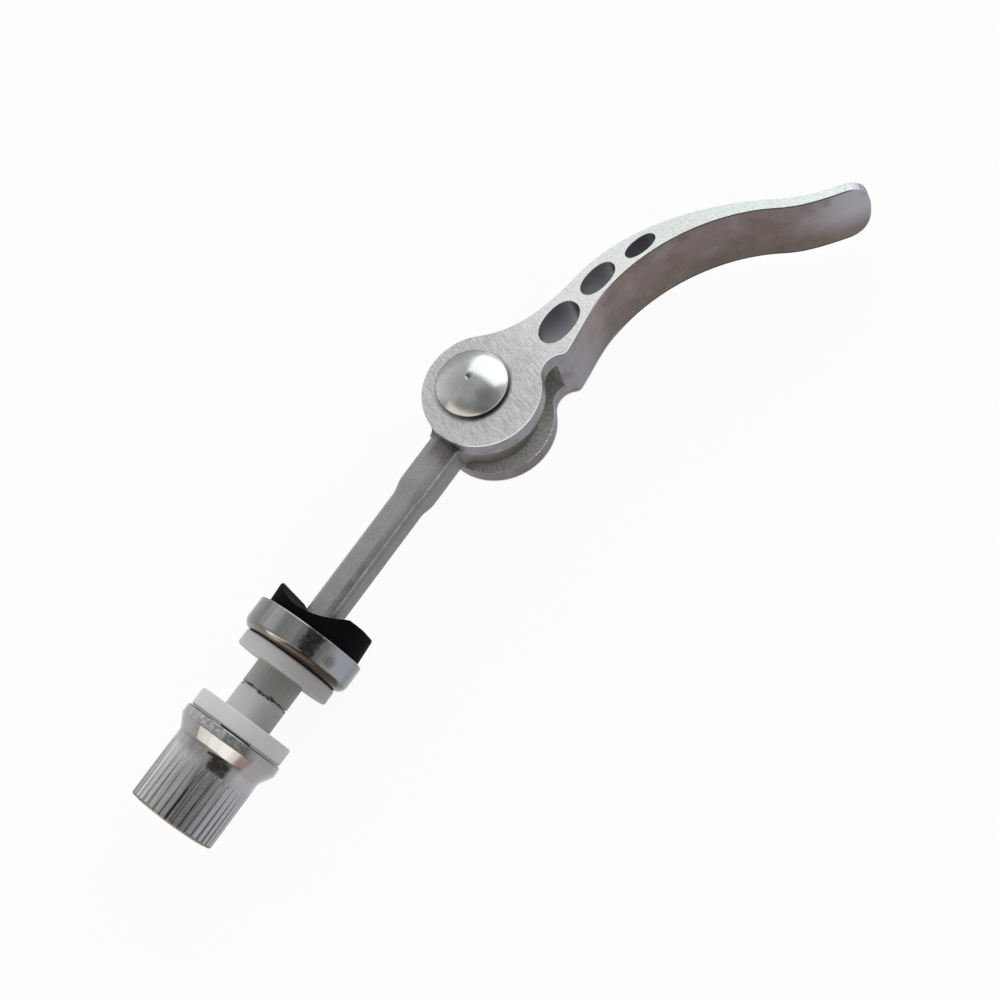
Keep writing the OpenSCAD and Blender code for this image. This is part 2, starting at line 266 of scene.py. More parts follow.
class Nodes:
    """Short calls that add nodes for numbers to a tree."""

    def __init__(self, tree):
        self.tree = tree

    def put(self, socket, value):
        if isinstance(value, bpy.types.NodeSocket):
            self.tree.links.new(value, socket)
        elif socket.type == "RGBA" and len(value) == 3:
            socket.default_value = (*value, 1)
        else:
            socket.default_value = value

    def node(self, kind, inputs=(), **properties):
        node = self.tree.nodes.new("ShaderNode" + kind)
        for name, value in properties.items():
            setattr(node, name, value)
        for name, value in dict(inputs).items():
            self.put(node.inputs[name], value)
        return node

    def math(self, operation, a, b=0.0):
        return self.node("Math", {0: a, 1: b}, operation=operation).outputs[0]

    def both(self, a, b):
        return self.math("MULTIPLY", a, b)

    def blend(self, amount, a, b):
        """A number between a and b."""
        return self.node("Mix", {0: amount, 2: a, 3: b}).outputs[0]

    def span(self, value, low, high, to_low=0.0, to_high=1.0, smooth=True):
        """value between low and high, brought to the span from to_low to to_high and held there."""
        inputs = {"Value": value, "From Min": low, "From Max": high, "To Min": to_low, "To Max": to_high}
        kind = "SMOOTHSTEP" if smooth else "LINEAR"
        return self.node("MapRange", inputs, interpolation_type=kind).outputs[0]

    def band(self, value, low, high, soft):
        """1 where value lies between low and high, falling to 0 over soft on both sides."""
        return self.both(self.span(value, low - soft, low), self.span(value, high, high + soft, 1, 0))

    def axis(self, vector, letter):
        return self.node("SeparateXYZ", {0: vector}).outputs[letter]


class Shader(Nodes):
    """A Principled material whose patterns are given by places on the piece, in millimetres."""

    def __init__(self, name, **settings):
        self.material = bpy.data.materials.new(name)
        self.material.use_nodes = True
        super().__init__(self.material.node_tree)
        self.bsdf = self.tree.nodes["Principled BSDF"]
        coords = self.node("TexCoord").outputs
        self.place, self.normal = coords["Object"], coords["Normal"]
        self.set(**settings)

    def set(self, **settings):
        for name, value in settings.items():
            self.put(self.bsdf.inputs[name.replace("_", " ")], value)

    def mm(self, letter):
        return self.math("DIVIDE", self.axis(self.place, letter), MM)

    def vector_math(self, operation, a, b):
        return self.node("VectorMath", {0: a, 1: b}, operation=operation).outputs[0]

    def away_from(self, centre, keep=(1, 1, 1)):
        """The way from a place, or from an axis through it whose own direction keep leaves out."""
        offset = self.vector_math("SUBTRACT", self.place, tuple(c * MM for c in centre))
        return self.vector_math("MULTIPLY", offset, tuple(k / MM for k in keep))

    def distance(self, centre, keep=(1, 1, 1)):
        away = self.away_from(centre, keep)
        return self.node("VectorMath", {0: away}, operation="LENGTH").outputs["Value"]

    def reach(self, centre, direction):
        """How far a place lies from centre in one direction."""
        inputs = {0: self.away_from(centre), 1: direction}
        return self.node("VectorMath", inputs, operation="DOT_PRODUCT").outputs["Value"]

    def outward(self, centre, keep):
        """The unit vector away from an axis."""
        return self.vector_math("NORMALIZE", self.away_from(centre, keep), (0, 0, 0))

    def bearing(self):
        """Degrees round the skewer from the top, positive towards -Y. It jumps only at the underside."""
        sideways = self.both(self.axis(self.place, "Y"), -1)
        turn = self.math("ARCTAN2", sideways, self.axis(self.place, "Z"))
        return self.both(turn, 360 / TURN)

    def noise(self, vector, detail=4.0, rough=0.55):
        inputs = {"Vector": vector, "Scale": 1.0, "Detail": detail, "Roughness": rough}
        return self.node("TexNoise", inputs).outputs["Fac"]

    def grain(self, fineness, detail=4.0, rough=0.55, turn=0.0):
        """Noise of a fineness per millimetre, for all axes or one for each, turned about Z."""
        each = fineness if isinstance(fineness, tuple) else (fineness,) * 3
        turned = self.node("VectorRotate", {"Vector": self.place, "Angle": turn}, rotation_type="Z_AXIS")
        inputs = {0: turned.outputs[0], "Scale": tuple(f / MM for f in each)}
        return self.noise(self.node("Mapping", inputs).outputs[0], detail, rough)

    def streaks(self, centre, keep, fineness, drift=0.1, detail=3.0):
        """Noise in straight streaks that run away from an axis, or along it, and change slowly."""
        around = self.vector_math("MULTIPLY", self.outward(centre, keep), (fineness,) * 3)
        slow = self.vector_math("MULTIPLY", self.place, (drift / MM,) * 3)
        return self.noise(self.vector_math("ADD", around, slow), detail)

    def mix(self, amount, a, b):
        node = self.node("Mix", {0: amount}, data_type="RGBA", clamp_factor=True)
        self.put(node.inputs[6], a)
        self.put(node.inputs[7], b)
        return node.outputs[2]

    def paint(self, under, color, *amounts):
        """A colour laid over another by the product of the amounts."""
        amount = amounts[0]
        for more in amounts[1:]:
            amount = self.both(amount, more)
        return self.mix(amount, under, color)

    def bump(self, height, strength, distance):
        inputs = {"Height": height, "Strength": strength, "Distance": distance * MM}
        return self.node("Bump", inputs).outputs[0]


# Lever

hub = np.array([0, -CAM_OFFSET])
NOTCH_R = 3.2
NOTCH_ANGLE = -46
ROOT_DEPTH = 9.1
ROOT_CORNER_R = 1.3
BACK_START = 38
WAIST = np.array([23, -2.9])
WAIST_SLOPE = -7
WAIST_DEPTH = 5.4
BEND = np.array([49.5, -22.4])
BEND_SLOPE = -58
BEND_DEPTH = 1.6
TIP = np.array([59.2, -32.1])
TIP_SLOPE = -42
TIP_DEPTH = 1.3
TIP_ROUND = 4.2
ROOT_SLOPE = 4
SLOT_END = EYE_R + 1.7
FIRST_WEB = 1.1
HOLE_WEB = 1.8
HOLE_SHIFT = 0.3
HOLES = ((8.0, 4.8, 3), (6.7, 3.5, 0), (5.6, 2.5, 8))
OVAL_POWER = 2.2
HOLE_SIDES = 72
TIP_POWER = 2.5
TIP_STEPS = 18
LEVER_EDGE = 0.22


def below(degrees):
    return np.array([math.sin(math.radians(degrees)), -math.cos(math.radians(degrees))])


def lever_edges():
    """The back edge and the grip edge of the handle, from the hub to the tip."""
    back_start = hub + HUB_R * along(BACK_START)
    back = curve(back_start, BACK_START - 90, WAIST, WAIST_SLOPE)
    back += curve(WAIST, WAIST_SLOPE, BEND, BEND_SLOPE)
    back += curve(BEND, BEND_SLOPE, TIP, TIP_SLOPE) + [TIP]
    waist = WAIST + WAIST_DEPTH * below(WAIST_SLOPE)
    bend = BEND + BEND_DEPTH * below(BEND_SLOPE)
    tip = TIP + TIP_DEPTH * below(TIP_SLOPE)
    waist_slope = WAIST_SLOPE + ROOT_SLOPE
    root = (root_corner[0], -ROOT_DEPTH)
    grip = curve(root, ROOT_SLOPE, waist, waist_slope) + curve(waist, waist_slope, bend, BEND_SLOPE)
    grip += curve(bend, BEND_SLOPE, tip, TIP_SLOPE) + [tip]
    return back, grip


notch = hub + (HUB_R + NOTCH_R) * along(NOTCH_ANGLE)
corner_y = ROOT_CORNER_R - ROOT_DEPTH
corner_dx = math.sqrt((NOTCH_R + ROOT_CORNER_R) ** 2 - (corner_y - notch[1]) ** 2)
root_corner = np.array([notch[0] + corner_dx, corner_y])
notch_to_corner = math.degrees(math.atan2(*(root_corner - notch)[::-1]))
back_edge, grip_edge = lever_edges()


def edge_y(edge, x):
    return float(np.interp(x, [p[0] for p in edge], [p[1] for p in edge]))


def middle_y(x):
    return (edge_y(back_edge, x) + edge_y(grip_edge, x)) / 2

def squared(value):
    """The coordinate of a slightly squared ellipse."""
    return math.copysign(abs(value) ** (2 / OVAL_POWER), value)


hole_places = []


def cut_holes(lever):
    """Three oval holes that shrink towards the tip; their places are kept for the material."""
    x = SLOT_END + FIRST_WEB
    for number, (length, width, turn) in enumerate(HOLES):
        middle = x + length / 2
        x += length + HOLE_WEB
        slope = turn + math.degrees(math.atan((middle_y(middle + 1) - middle_y(middle - 1)) / 2))
        centre = np.array([middle, middle_y(middle) - HOLE_SHIFT])
        forward, side = length / 2 * along(slope), width / 2 * along(slope + 90)
        turns = [TURN * (k + 0.5) / HOLE_SIDES for k in range(HOLE_SIDES)]
        ring = [centre + forward * squared(math.cos(t)) + side * squared(math.sin(t)) for t in turns]
        hole_places.append((centre, forward, side))
        combine(lever, prism(f"hole_{number}", ring, upright(LEVER_W / 2 + 1, PIN_X)), "DIFFERENCE")


def round_tip(lever):
    """Rounds the blade's end across its width."""
    zs = [math.sin(TURN / 4 * (i / TIP_STEPS - 1)) for i in range(2 * TIP_STEPS + 1)]
    root = 1 / TIP_POWER
    end = [(TIP_ROUND * ((1 - abs(z) ** TIP_POWER) ** root - 1), z * LEVER_W / 2) for z in zs]
    back, wide, deep = -2 * TIP[0], LEVER_W / 2 + 1, 120
    slab = [(back, wide), (back, -wide), (-TIP_ROUND, -wide)] + end + [(-TIP_ROUND, wide)]
    forward, normal = along(TIP_SLOPE), below(TIP_SLOPE)

    def on_blade(u, z, side):
        x, y = TIP + u * forward + side * deep * normal
        return (PIN_X + x, y, z)

    combine(lever, prism("tip", slab, on_blade), "INTERSECT")


def make_lever():
    outline = back_edge + grip_edge[:0:-1]
    outline += arc(root_corner, ROOT_CORNER_R, 270, 180 + notch_to_corner, 10)
    outline += arc(notch, NOTCH_R, notch_to_corner, 180 + NOTCH_ANGLE, 20)[1:]
    outline += arc(hub, HUB_R, NOTCH_ANGLE, BACK_START - 360, 140)[1:-1]
    lever = prism("lever_body", outline, upright(LEVER_W / 2, PIN_X))
    cut_holes(lever)
    length, wide = 30, 20
    slot = [(SLOT_END - length, -wide), (SLOT_END, -wide), (SLOT_END, wide), (SLOT_END - length, wide)]
    combine(lever, prism("slot", slot, upright(SLOT_W / 2, PIN_X)), "DIFFERENCE")
    combine(lever, prism("bore", circle((0, 0), PIN_R, 48), upright(LEVER_W / 2 + 1, PIN_X)), "DIFFERENCE")
    round_tip(lever)
    bevel(lever, LEVER_EDGE)
    return lever


# Skewer

WIDE_SIDE = 5.4
WIDE_END_X = PIN_X - 17.4
STEP_LEN = 2.2
BAR_SIDE = 4.8
WIDE_R = 3.5
BAR_END_X = PIN_X - 5
COLUMNS = 96
SQUARENESS = 15
THREAD_R = 2.95
THREAD_START_X = THREAD_END_X + THREAD_LEN
THREAD_DEPTH = 0.55
THREAD_STEP = 0.12
THREAD_POINT = 0.6
PITCH = 1.0
EYE_BORE_R = 3.05
EYE_EDGE = 0.45
EYE_FILLET = 1.6


def square_radius(half, corner, angle):
    """Radius of a square bar with round corners in the direction angle."""
    flat = half / max(abs(math.cos(angle)), abs(math.sin(angle)))
    return (flat ** -SQUARENESS + corner ** -SQUARENESS) ** (-1 / SQUARENESS)


def thread_rows():
    """A right-hand helix that fades out towards the bar, with a pointed end."""
    rows = []
    xs = np.arange(THREAD_END_X + THREAD_STEP, THREAD_START_X + 0.6, THREAD_STEP)
    for x in [THREAD_END_X + 0.001, *xs]:
        fade = min(max(THREAD_START_X - x, 0), 1)
        point = max(0, THREAD_POINT - (x - THREAD_END_X))
        row = []
        for k in range(COLUMNS):
            phase = ((x - PITCH * k / COLUMNS) / PITCH) % 1
            cut = THREAD_DEPTH * abs(2 * phase - 1)
            row.append(around_x(x, THREAD_R - cut * fade - point, TURN * k / COLUMNS))
        rows.append(row)
    return rows


def make_skewer():
    bar, wide, bar_r = BAR_SIDE / 2, WIDE_SIDE / 2, THREAD_R - 0.04
    step_x = WIDE_END_X - STEP_LEN
    sections = [
        (THREAD_START_X + 0.8, 2.9, THREAD_R), (THREAD_START_X + 1.6, bar, bar_r),
        (THREAD_START_X + 3, bar, bar_r), (step_x - 0.3, bar, bar_r), (step_x + 0.3, bar + 0.05, THREAD_R),
        (WIDE_END_X - 0.3, wide - 0.06, WIDE_R - 0.08), (WIDE_END_X + 0.3, wide, WIDE_R),
        (WIDE_END_X + 2, wide, WIDE_R), (PIN_X - 12, wide, WIDE_R), (BAR_END_X, wide, WIDE_R),
    ]
    rows = [[(THREAD_END_X, 0, 0)]] + thread_rows()
    angles = [TURN * k / COLUMNS for k in range(COLUMNS)]
    for x, half, corner in sections:
        rows.append([around_x(x, square_radius(half, corner, a), a) for a in angles])
    rows.append([(BAR_END_X, 0, 0)])
    skewer = grid_piece("skewer_bar_and_eye", rows)
    # The eye is a forged disc with soft edges
    face = EYE_W / 2
    ring = rounded([(0, EYE_BORE_R, 0), (face, EYE_BORE_R, 0.2), (face, EYE_R, EYE_EDGE),
                    (-face, EYE_R, EYE_EDGE), (-face, EYE_BORE_R, 0.2), (0, EYE_BORE_R, 0)])
    combine(skewer, lathe("eye", ring[:-1], around_pin, 160, loop=True), "UNION")
    # Fillets blend the bar into the disc
    blend_y = wide + EYE_FILLET
    blend_x = math.sqrt((EYE_R + EYE_FILLET) ** 2 - blend_y ** 2)
    tangent = -math.degrees(math.atan2(blend_y, blend_x))
    side = arc((-blend_x, blend_y), EYE_FILLET, -90, tangent, 12)
    inner = (-5, side[-1][1])
    outline = side + [inner, (inner[0], -inner[1])] + [(x, -y) for x, y in side[::-1]]
    combine(skewer, prism("blend", outline, upright(wide - 0.02, PIN_X)), "UNION")
    return skewer


# Pin

def make_pin():
    """A rivet: a domed head with the dimple of a centre drill, and a low peened end."""
    face, dome_h, peen_r, peen_h = LEVER_W / 2, 2.3, 4.8, 1.3
    wall = face + PIN_HEAD_WALL
    crown = wall + dome_h
    ball = (PIN_HEAD_R ** 2 + dome_h ** 2) / (2 * dome_h)
    top = math.degrees(math.asin(0.75 / ball))
    edge = math.degrees(math.asin((PIN_HEAD_R - 0.12) / ball))
    dimple = [(crown - 0.3, 0), (crown - 0.26, 0.2), (crown - 0.06, 0.37), (crown - 0.025, 0.52)]
    dome = arc((crown - ball, 0), ball, top, edge, 24)
    head = [(wall - 0.02, PIN_HEAD_R - 0.02), (wall - 0.14, PIN_HEAD_R), (face + 0.3, PIN_HEAD_R - 0.02),
            (face + 0.1, PIN_HEAD_R - 0.14), (face + 0.03, PIN_HEAD_R - 0.4), (face + 0.03, PIN_R)]
    foot = [(-face - 0.03, PIN_R), (-face - 0.03, peen_r - 0.25), (-face - 0.06, peen_r - 0.06)]
    ball = (peen_r ** 2 + peen_h ** 2) / (2 * peen_h)
    edge = math.degrees(math.asin((peen_r - 0.08) / ball))
    peen = arc((-face - peen_h + ball, 0), ball, 180 - edge, 180, 16)
    profile = dimple + dome + head + foot + peen[:-1] + [(-face - peen_h, 0)]
    return lathe("pivot_pin_rivet", profile, around_pin, 128)


# Cam seat, bushings and nut

SADDLE_R = 8.1
SADDLE_TILT = 4
# Its bore is wide enough to pass the wide part of the shank askew
SADDLE_BORE_R = WASHER_BORE_R + 0.6
SADDLE_EDGE = 0.35
VALLEY_DEPTH = 2.4


def make_saddle():
    low, top = SADDLE_X + 0.7, SADDLE_TOP_X
    profile = rounded([(low, SADDLE_BORE_R, 0), (low, SADDLE_R, 0.3), (top, SADDLE_R, 0.3),
                       (top, SADDLE_BORE_R, 0)])
    saddle = lathe("saddle_body", profile, loop=True)
    valley_r = HUB_R + 0.1
    valley = circle((top - VALLEY_DEPTH + valley_r, 0), valley_r, 144)
    combine(saddle, prism("valley", valley, upright(2 * SADDLE_R)), "DIFFERENCE")
    # The horns are rounded off, the one on the -Y side more
    back, side = SADDLE_X - 1, SADDLE_R + 0.02
    horns = rounded([(back, -side, 0), (top, -side, 0.6), (top, side, 0.4), (back, side, 0)])
    combine(saddle, prism("horns", horns, upright(1.5 * SADDLE_R)), "INTERSECT")
    bevel(saddle, SADDLE_EDGE, segments=3)
    # It lies a little askew in its cup, with the horn on the +Y side lower
    middle = Vector((top * MM, 0, 0))
    turn = Matrix.Translation(middle) @ Matrix.Rotation(math.radians(SADDLE_TILT), 4, "Z")
    saddle.data.transform(turn @ Matrix.Translation(-middle))
    return saddle


def make_cup():
    inner, outer = 8.35, 9.15
    under_curve, rim_edge, floor_fillet = 1.7, 0.25, 0.2
    profile = [(CUP_X, WASHER_BORE_R, 0), (CUP_X, outer, under_curve), (CUP_RIM_X, outer, rim_edge),
               (CUP_RIM_X, inner, rim_edge), (SADDLE_X, inner, floor_fillet), (SADDLE_X, WASHER_BORE_R, 0)]
    return lathe("cup_body", rounded(profile, 8), loop=True)


FLANGE_R = 7.95
FLANGE_EDGE = 0.35
RAGGED = 0.2
RAGGED_REACH = 0.4
RAGGED_WAVES = ((5, 1.0), (13, 1.2), (29, 1.8), (47, 2.4))


def make_bushing(name, seat, side, flange_t, collar_len):
    """A shouldered bushing; side is 1 where its flange lies towards +X from the seat face."""
    tip, back = seat - side * collar_len, seat + side * flange_t
    neck = tip + side * 0.6
    profile = rounded([(tip, BUSHING_BORE_R, 0), (tip, COLLAR_R, 0.18), (neck, COLLAR_R, 0),
                       (neck + side * 0.05, COLLAR_R, 0), (seat, COLLAR_R, 0.1),
                       (seat, FLANGE_R, FLANGE_EDGE), (back, FLANGE_R, FLANGE_EDGE),
                       (back, BUSHING_BORE_R, 0)])
    bushing = lathe(name, profile, loop=True)
    # The tip of the collar is cut unevenly
    for vertex in bushing.data.vertices:
        x, y, z = (c / MM for c in vertex.co)
        near = max(0, 1 - abs(x - tip) / RAGGED_REACH)
        turn = math.atan2(z, y)
        ragged = sum(math.sin(turn * waves + side * 1.7 * waves) / share for waves, share in RAGGED_WAVES)
        vertex.co.x += side * near * RAGGED * MM * max(0, ragged)
    return bushing


NUT_COLLAR_R, GRIP_R, NUT_BORE_R = 8.3, 7.05, 3.0
NUT_BORE_LEN = 13.9
END_DOME = 0.36
GROOVES = 38
GROOVE_DEPTH = 0.26
# Places of the rows along the grip, as shares of its length, and of the points across a groove
GRIP_ROWS = (0.02, 0.05, 0.1, 0.18, 0.3, 0.45, 0.6, 0.75, 0.9, 1)
GROOVE_POINTS = (-1, -0.5, 0, 0.5, 1)


def ring_row(x, r, depth):
    """One ring of the nut: five points across each groove and one on the land between two grooves."""
    row = []
    for k in range(GROOVES):
        middle = TURN * (k + 0.5) / GROOVES
        width = max(depth, 0.06)
        for share in GROOVE_POINTS:
            angle = middle + share * width / max(r, 4)
            row.append(around_x(x, r - depth * (1 - abs(share)), angle))
        row.append(around_x(x, r, TURN * (k + 1) / GROOVES))
    return row


def make_nut():
    """Lathe rows whose radius dips into tapered V grooves round the grip."""
    slope_x, grip_x, end_x = NUT_X - 1.7, NUT_X - 3.75, NUT_X - NUT_LEN
    groove_x = grip_x - 2.2
    bore_floor = NUT_X - NUT_BORE_LEN
    outer = rounded([(NUT_X, NUT_BORE_R, 0), (NUT_X, NUT_COLLAR_R, 0.4), (slope_x, NUT_COLLAR_R, 0.55),
                     (grip_x, GRIP_R, 1.6), (groove_x, GRIP_R, 0)], 7)
    outer += [(groove_x + (end_x + 0.7 - groove_x) * share, GRIP_R) for share in GRIP_ROWS]
    outer += [(end_x + 0.12 + END_DOME * (r / GRIP_R) ** 2, r) for r in (GRIP_R - 0.16, GRIP_R - 0.5)]
    outer += [(end_x + END_DOME * (r / GRIP_R) ** 2, r) for r in (GRIP_R - 1.2, 4, 2)]
    rows = [[(bore_floor, 0, 0)], ring_row(bore_floor, NUT_BORE_R, 0)]
    for x, r in outer:
        run = max(0, groove_x - x) / (groove_x - end_x)
        depth = GROOVE_DEPTH * (1 - (1 - min(run, 1)) ** 2)
        # The grooves run out over the edge of the end
        if r < GRIP_R - 0.3:
            depth = max(0, depth - (GRIP_R - 0.3 - r) * 1.2)
        rows.append(ring_row(x, r, depth))
    rows.append([(end_x, 0, 0)])
    return grid_piece("nut_body", rows)


# Zones of the lever

PLAIN_ZONE, FACE_ZONE, HOLE_ZONE, SLOT_ZONE, HOLE_RIM_ZONE = range(5)
HOLE_REACH = 1.35


def near_hole(u, v, hole):
    centre, forward, side = hole
    offset = np.array([u, v]) - centre
    return (offset @ forward / (forward @ forward)) ** 2 + (offset @ side / (side @ side)) ** 2 < HOLE_REACH


def zone_of(face):
    """Whether a face is sawn, the wall or the rim of a hole, inside the slot, or plain."""
    x, y, z = (c / MM for c in face.center)
    level = abs(face.normal.z)
    by_hole = any(near_hole(x - PIN_X, y, hole) for hole in hole_places)
    slot_end = PIN_X + SLOT_END
    if by_hole and 0.2 < level < 0.99:
        return HOLE_RIM_ZONE
    if level > 0.75:
        return FACE_ZONE if abs(z) > SLOT_W / 2 + 1 else SLOT_ZONE
    if by_hole:
        return HOLE_ZONE
    in_slot = abs(z) < SLOT_W / 2 + 0.1 and x < slot_end + 0.1
    on_end_edge = x > slot_end - 0.3 and abs(face.normal.x) < 0.95
    return SLOT_ZONE if in_slot and not on_end_edge else PLAIN_ZONE


def mark_zones(lever):
    """Stores its zone on each face of the lever, for the material to read."""
    zones = [float(zone_of(face)) for face in lever.data.polygons]
    lever.data.attributes.new("zone", "FLOAT", "FACE").data.foreach_set("value", zones)


# Materials

# Stretches along X where the lever's painted highlight, painted reflections and painted shade change, and
# where its hole walls lighten
FACE_HIGHLIGHT = (58, 68)
FACE_REFLECTION = (74, 92)
FACE_TIP_SHADE = (106.5, 109)
SIDE_WARM_REFLECTION = (62, 78)
SIDE_TIP_HIGHLIGHT = (99.5, 108.5)
EDGE_HIGHLIGHT_FADES = (68, 78)
HOLES_LIGHTEN = (70, 75)
# The saw's strokes are turned by this angle in radians
STROKE_TURN = 0.30
# A dark nick in the hub's rim over the shank, and a small dark spot on the cup
NICK = (42.3, -2.9, 4.6)
CUP_SPOT = (5.1, -7.6, 5.1)


def lever_face(s, strokes, grit):
    """Fine strokes run across the sawn faces, some of them bright."""
    x = s.mm("X")
    scratches = s.grain((4.0, 0.3, 1.0), detail=3, turn=STROKE_TURN)
    face = s.mix(s.span(strokes, 0.34, 0.66), (0.52, 0.52, 0.515), (0.75, 0.75, 0.74))
    face = s.paint(face, (0.95, 0.95, 0.94), s.span(scratches, 0.62, 0.70), 0.5)
    # Painted highlight whitens the blade's face, a painted greenish reflection lies along it, and painted
    # shade greys the face where it rounds over the tip
    face = s.paint(face, (0.88, 0.885, 0.87), s.span(x, *FACE_HIGHLIGHT), 0.7)
    face = s.paint(face, (0.66, 0.70, 0.675), s.span(x, *FACE_REFLECTION), 0.75)
    face = s.paint(face, (0.42, 0.41, 0.44), s.span(x, *FACE_TIP_SHADE))
    face = s.paint(face, (0.34, 0.34, 0.335), s.span(grit, 0.52, 0.62), 0.35)
    face = s.paint(face, (1.0, 1.0, 0.99), s.span(grit, 0.46, 0.38), 0.3)
    # Painted contact shadow and dirt round the head of the pin, most of it towards -Y
    head_shadow_and_dirt = s.span(s.distance(PIN_AXIS, ACROSS_PIN), PIN_HEAD_R + 0.1, PIN_HEAD_R + 0.65, 1, 0)
    return s.paint(face, (0.05, 0.04, 0.032), head_shadow_and_dirt, s.span(s.mm("Y"), -1.5, -5.0, 0.3, 0.75))


def lever_side(s):
    """Satin sides with painted reflections: lavender grey by the hub, brown along the grip, and a painted
    highlight at the tip, with painted shade towards -Z.
    """
    x, z = s.mm("X"), s.mm("Z")
    ear, face = SLOT_W / 2, LEVER_W / 2
    broad = s.grain((0.35, 0.2, 0.3), detail=3)
    blotch = s.grain(0.2, detail=7, rough=0.62)
    speckle = s.grain(2.2, detail=4, rough=0.7)
    # Lavender and brown are painted reflections; the brown and the tip darken towards -Z as painted shade,
    # and the tip's top is a painted highlight
    lavender = s.mix(broad, (0.215, 0.205, 0.23), (0.275, 0.26, 0.29))
    brown = s.mix(s.span(z, -6.5, 4), (0.105, 0.08, 0.06), (0.165, 0.125, 0.12))
    brown = s.paint(brown, (0.20, 0.155, 0.145), broad, 0.4)
    tip = s.mix(s.span(z, -5.5, 1.5), (0.16, 0.13, 0.12), (0.33, 0.325, 0.36))
    side = s.mix(s.span(x, *SIDE_WARM_REFLECTION), lavender, brown)
    side = s.paint(side, tip, s.span(x, *SIDE_TIP_HIGHLIGHT))
    # Painted shade on the sides of the lower ear by the hub
    lower_ear_shade = s.mix(s.span(x, PIN_X - 4.5, PIN_X + 4.5), (0.105, 0.08, 0.075), (0.14, 0.135, 0.15))
    on_lower_ear = s.both(s.span(z, 0.2 - ear, -0.2 - ear), s.span(x, PIN_X + 11, PIN_X + 6.5))
    side = s.paint(side, lower_ear_shade, on_lower_ear, 0.7)
    side = s.paint(side, (0.085, 0.055, 0.045), s.span(blotch, 0.5, 0.62, 0, 0.35))
    side = s.paint(side, (0.34, 0.31, 0.34), s.span(blotch, 0.46, 0.36, 0, 0.15))
    side = s.paint(side, (0.08, 0.07, 0.065), s.span(speckle, 0.58, 0.72, 0, 0.35))
    # Painted highlight on the burred edges by the hub, turning into a painted dark reflection along the
    # blade's edges
    edge = s.mix(s.span(x, *EDGE_HIGHLIGHT_FADES), (0.85, 0.85, 0.84), (0.05, 0.052, 0.05))
    side = s.paint(side, edge, s.band(s.math("ABSOLUTE", z), face - 0.32, face + 0.2, 0.12))
    burr_highlight = s.both(s.band(z, -0.35 - ear, 0.1 - ear, 0.08), s.band(x, PIN_X - 1.5, PIN_X + 6.5, 3))
    side = s.paint(side, (0.85, 0.85, 0.83), burr_highlight, s.span(speckle, 0.48, 0.6))
    return s.paint(side, (0.02, 0.015, 0.012), s.span(s.distance(NICK), 0.5, 1.3, 0.9, 0))


def lever_slot(s, grit):
    """The inner faces of the ears keep the marks of the saw."""
    marks = s.streaks((PIN_X, -CAM_OFFSET, 0), ACROSS_PIN, 24, 0.9, detail=6)
    slot = s.mix(s.span(marks, 0.3, 0.7), (0.50, 0.49, 0.465), (0.76, 0.75, 0.72))
    return s.paint(slot, (0.30, 0.29, 0.275), s.span(grit, 0.5, 0.64), 0.5)


def lever_material():
    s = Shader("lever_alloy", Metallic=1.0)
    zone = s.node("Attribute", attribute_name="zone").outputs["Fac"]
    facing = s.math("COMPARE", zone, FACE_ZONE)
    in_slot = s.math("COMPARE", zone, SLOT_ZONE)
    strokes = s.grain((3.2, 0.5, 1.0), detail=5, rough=0.7, turn=STROKE_TURN)
    grit = s.grain((4.5, 4.5, 1.0), detail=3, rough=0.7)
    hole = s.mix(s.span(s.mm("X"), *HOLES_LIGHTEN), (0.25, 0.25, 0.28), (0.38, 0.38, 0.41))
    # Painted highlight on the hole rims that face +X and painted shade on those that face -X
    rim = s.mix(s.span(s.axis(s.normal, "X"), -0.25, 0.25), (0.10, 0.10, 0.10), (1.0, 1.0, 1.0))
    color = s.mix(facing, lever_side(s), lever_face(s, strokes, grit))
    color = s.paint(color, hole, s.math("COMPARE", zone, HOLE_ZONE))
    color = s.paint(color, lever_slot(s, grit), in_slot)
    color = s.paint(color, rim, s.math("COMPARE", zone, HOLE_RIM_ZONE))
    rough = s.blend(facing, 0.42, s.span(strokes, 0.2, 0.8, 0.38, 0.52))
    relief = s.blend(facing, s.grain(3.0, detail=3), s.math("ADD", strokes, s.both(grit, 0.6)))
    s.set(Base_Color=color, Roughness=s.blend(in_slot, rough, 0.58), Normal=s.bump(relief, 0.5, 0.045))
    return s.material


def pin_material():
    s = Shader("pin_steel", Metallic=1.0)
    spokes = s.streaks(PIN_AXIS, ACROSS_PIN, 5, 0.05)
    cloud = s.grain(0.45)
    fine = s.grain(4.0)
    shade = s.mix(s.span(spokes, 0.3, 0.7), (0.525, 0.54, 0.54), (0.59, 0.605, 0.60))
    shade = s.paint(shade, (0.43, 0.42, 0.41), s.span(cloud, 0.45, 0.7, 0, 0.3))
    # Painted dark reflection on the far side, a darker brown patch over the shank, and painted shade in the
    # dimple of the centre drill
    far_reflection = s.math("ADD", s.reach(PIN_AXIS, (0.45, 0.89, 0)), cloud)
    shade = s.paint(shade, (0.17, 0.18, 0.175), s.span(far_reflection, 2.6, 5.4), 0.8)
    over_shank = s.reach(PIN_AXIS, (-0.94, -0.35, 0))
    shade = s.paint(shade, (0.24, 0.225, 0.20), s.span(over_shank, 3.0, 4.6), 0.75)
    dimple = s.span(s.distance(PIN_AXIS, ACROSS_PIN), 0.25, 0.6, 0.85, 0)
    shade = s.paint(shade, (0.10, 0.11, 0.105), dimple)
    # Painted shadow on the wall under the dome
    top = LEVER_W / 2 + PIN_HEAD_WALL
    shade = s.paint(shade, (0.035, 0.025, 0.02), s.span(s.mm("Z"), top - 0.08, top + 0.05, 0.9, 0))
    s.set(Base_Color=shade, Roughness=s.span(fine, 0.25, 0.75, 0.16, 0.28))
    s.set(Normal=s.bump(spokes, 0.04, 0.03))
    return s.material


